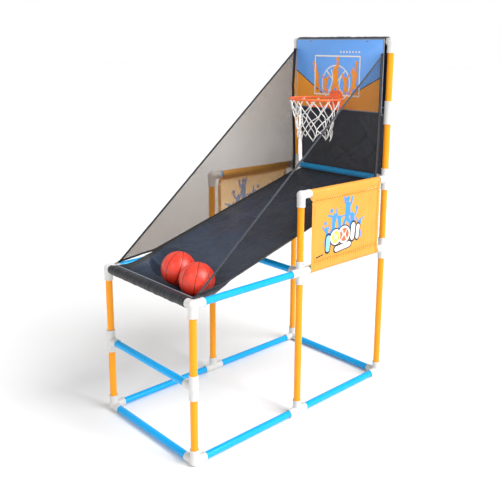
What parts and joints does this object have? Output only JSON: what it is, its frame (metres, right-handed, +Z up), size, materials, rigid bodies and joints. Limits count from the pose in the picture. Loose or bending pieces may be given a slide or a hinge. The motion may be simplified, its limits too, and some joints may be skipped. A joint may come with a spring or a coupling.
{
  "type": "basketball hoop machine",
  "caption": "Free-standing children's basketball arcade frame with a cloth ball ramp, side nets, printed side panels, backboard, hoop and loose mini balls.",
  "frame": {"origin": "on the floor under the centre of the frame", "axes": "+Z up, -Y towards the player, +X to the player's right"},
  "size_m": [0.5316, 1.005, 1.4009],
  "materials": {
    "orange_tube": "satin extruded plastic",
    "blue_tube": "satin extruded plastic",
    "connector": "moulded, satin",
    "cover_cloth": "woven nylon with a slight sheen",
    "net_mesh": "fine see-through mesh",
    "panel_cloth": "printed polyester",
    "board_print": "printed board",
    "rim_plastic": "moulded, satin",
    "net_cord": "knotted cord",
    "ball_rubber": "pebbled rubber with dark seams"
  },
  "bodies": {
    "frame": {"backboard": "board_print", "ball_ramp_cover": "cover_cloth", "front_bottom_rail": "blue_tube", "front_left_bottom_corner": "connector", "front_mid_rail": "blue_tube", "front_right_bottom_corner": "connector", "front_top_bar": "connector", "hoop_net": "net_cord", "left_bottom_rail_front": "blue_tube", "left_bottom_rail_rear": "blue_tube", "left_bottom_tee": "connector", "left_deck_rail": "blue_tube", "left_front_post_lower": "orange_tube", "left_front_post_upper": "orange_tube", "left_front_tee": "connector", "left_mast_lower": "orange_tube", "left_mast_upper": "orange_tube", "left_middle_cross": "connector", "left_middle_post_lower": "orange_tube", "left_middle_post_upper": "orange_tube", "left_panel_bottom_tube": "blue_tube", "left_panel_top_bar": "connector", "left_rear_cross": "connector", "left_rear_post_lower": "orange_tube", "left_rear_post_upper": "orange_tube", "left_rear_tee": "connector", "left_side_net": "net_mesh", "left_side_panel": "panel_cloth", "middle_cross_rail": "blue_tube", "rear_bottom_rail": "blue_tube", "rear_cross_rail": "blue_tube", "rear_left_bottom_corner": "connector", "rear_right_bottom_corner": "connector", "right_bottom_rail_front": "blue_tube", "right_bottom_rail_rear": "blue_tube", "right_bottom_tee": "connector", "right_deck_rail": "blue_tube", "right_front_post_lower": "orange_tube", "right_front_post_upper": "orange_tube", "right_front_tee": "connector", "right_front_top_corner": "connector", "right_mast_lower": "orange_tube", "right_mast_upper": "orange_tube", "right_middle_cross": "connector", "right_middle_post_lower": "orange_tube", "right_middle_post_upper": "orange_tube", "right_panel_bottom_tube": "blue_tube", "right_panel_top_bar": "connector", "right_rear_cross": "connector", "right_rear_post_lower": "orange_tube", "right_rear_post_upper": "orange_tube", "right_rear_tee": "connector", "right_side_net": "net_mesh", "right_side_panel": "panel_cloth", "rim": "rim_plastic", "top_bar": "connector", "top_right_elbow": "connector"},
    "front_ball": {"front_ball": "ball_rubber"},
    "rear_ball": {"rear_ball": "ball_rubber"}
  },
  "joints": [
    {"name": "front_ball_lift", "type": "slide", "parent": "frame", "child": "front_ball", "axis": [0, 0, 1], "range_m": [0, 0.35]},
    {"name": "rear_ball_lift", "type": "slide", "parent": "frame", "child": "rear_ball", "axis": [0, 0, 1], "range_m": [0, 0.35]}
  ]
}
